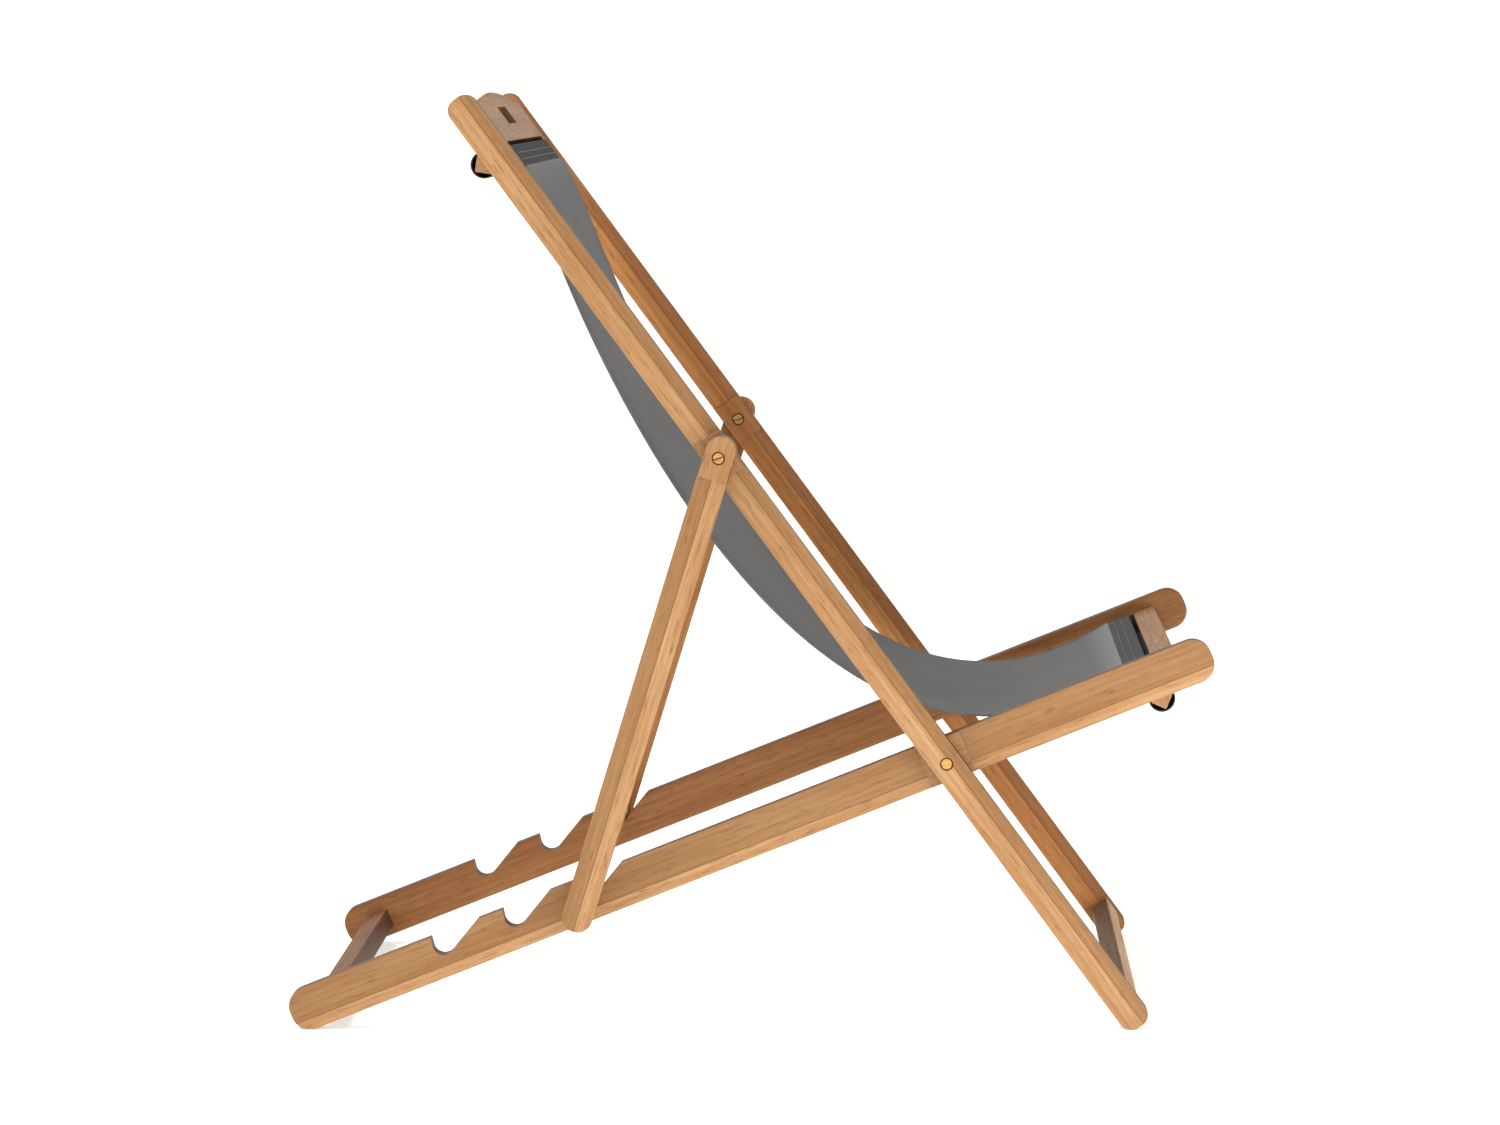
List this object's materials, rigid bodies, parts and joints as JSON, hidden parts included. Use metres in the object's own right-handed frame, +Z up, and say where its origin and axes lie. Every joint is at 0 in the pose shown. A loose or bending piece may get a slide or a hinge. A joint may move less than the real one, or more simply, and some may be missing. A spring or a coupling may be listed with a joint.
{
  "type": "folding deck chair",
  "caption": "Folding teak deck chair: three pivoting timber frames, a prop dowel in a row of notches, and a woven fabric sling between slotted boards.",
  "frame": {"origin": "on the ground, at the middle of the footprint", "axes": "+Z up, +X towards the sitter's left, the sitter faces -Y"},
  "size_m": [0.56, 0.9786, 0.9854],
  "materials": {
    "teak": "sanded and oiled",
    "brass": "turned, lightly tarnished",
    "sling_fabric": "plain woven, matt"
  },
  "bodies": {
    "seat_frame": {"seat_rail_right": "teak", "seat_rail_left": "teak", "front_board": "teak", "rear_stretcher": "teak", "front_stick": "teak"},
    "back_frame": {"back_rail_right": "teak", "back_rail_left": "teak", "head_board": "teak", "bottom_stretcher": "teak", "head_stick": "teak", "sling": "sling_fabric", "crossing_bolt_right": "brass", "crossing_bolt_left": "brass", "crossing_nut_right": "brass", "crossing_nut_left": "brass", "crossing_washer_right": "brass", "crossing_washer_left": "brass"},
    "prop_frame": {"prop_leg_right": "teak", "prop_leg_left": "teak", "prop_dowel": "teak", "prop_bolt_right": "brass", "prop_bolt_left": "brass", "prop_nut_right": "brass", "prop_nut_left": "brass", "prop_washer_right": "brass", "prop_washer_left": "brass"}
  },
  "joints": [
    {"name": "back_fold", "type": "hinge", "parent": "seat_frame", "child": "back_frame", "pos_m": [0, -0.20932, 0.28354], "axis": [-1, 0, 0], "range_deg": [0, 73.5], "deforming": ["sling"]},
    {"name": "prop_fold", "type": "hinge", "parent": "back_frame", "child": "prop_frame", "pos_m": [0, 0.02353, 0.60755], "axis": [1, 0, 0], "range_deg": [0, 126.7]}
  ],
  "couplings": [
    {"joint": "prop_fold", "follows": "back_fold", "ratio": 1.7211}
  ]
}
